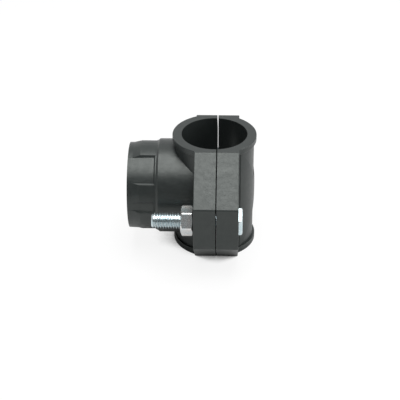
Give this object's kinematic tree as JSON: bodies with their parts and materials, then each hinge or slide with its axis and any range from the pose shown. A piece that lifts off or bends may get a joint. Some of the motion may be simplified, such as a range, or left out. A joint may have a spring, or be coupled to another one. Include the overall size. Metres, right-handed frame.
{
  "type": "tapping saddle",
  "caption": "Two-part clamp saddle for plastic pipe with a female threaded outlet, a port gasket, bolts and nuts.",
  "frame": {"origin": "Where the pipe's axis meets the outlet's axis, half way along the saddle.", "axes": "+Z runs along the pipe's axis. The outlet points along -X. The bolts lie along X at -Y (front) and +Y (rear)."},
  "size_m": [0.0633, 0.084, 0.0596],
  "materials": {
    "saddle_plastic": "moulded black plastic, satin",
    "gasket_rubber": "moulded rubber, dull",
    "zinc_steel": "bright zinc plating"
  },
  "bodies": {
    "branch_half": {"branch_saddle": "saddle_plastic", "outlet_gasket": "gasket_rubber"},
    "strap_half": {"strap_saddle": "saddle_plastic", "bolt_front": "zinc_steel", "bolt_rear": "zinc_steel"},
    "front_nut": {"nut_front": "zinc_steel"},
    "rear_nut": {"nut_rear": "zinc_steel"}
  },
  "joints": [
    {"name": "strap_slide", "type": "slide", "parent": "branch_half", "child": "strap_half", "axis": [1, 0, 0], "range_m": [-0.0005, 0.0125]},
    {"name": "front_nut_turn", "type": "hinge", "parent": "branch_half", "child": "front_nut", "pos_m": [-0.0128, -0.0336, 0], "axis": [-1, 0, 0], "range_deg": [-144, 3600]},
    {"name": "rear_nut_turn", "type": "hinge", "parent": "branch_half", "child": "rear_nut", "pos_m": [-0.0128, 0.0336, 0], "axis": [-1, 0, 0], "range_deg": [-144, 3600]}
  ],
  "couplings": [
    {"joint": "front_nut_turn", "follows": "strap_slide", "rad_per_m": 5026.5},
    {"joint": "rear_nut_turn", "follows": "strap_slide", "rad_per_m": 5026.5}
  ]
}
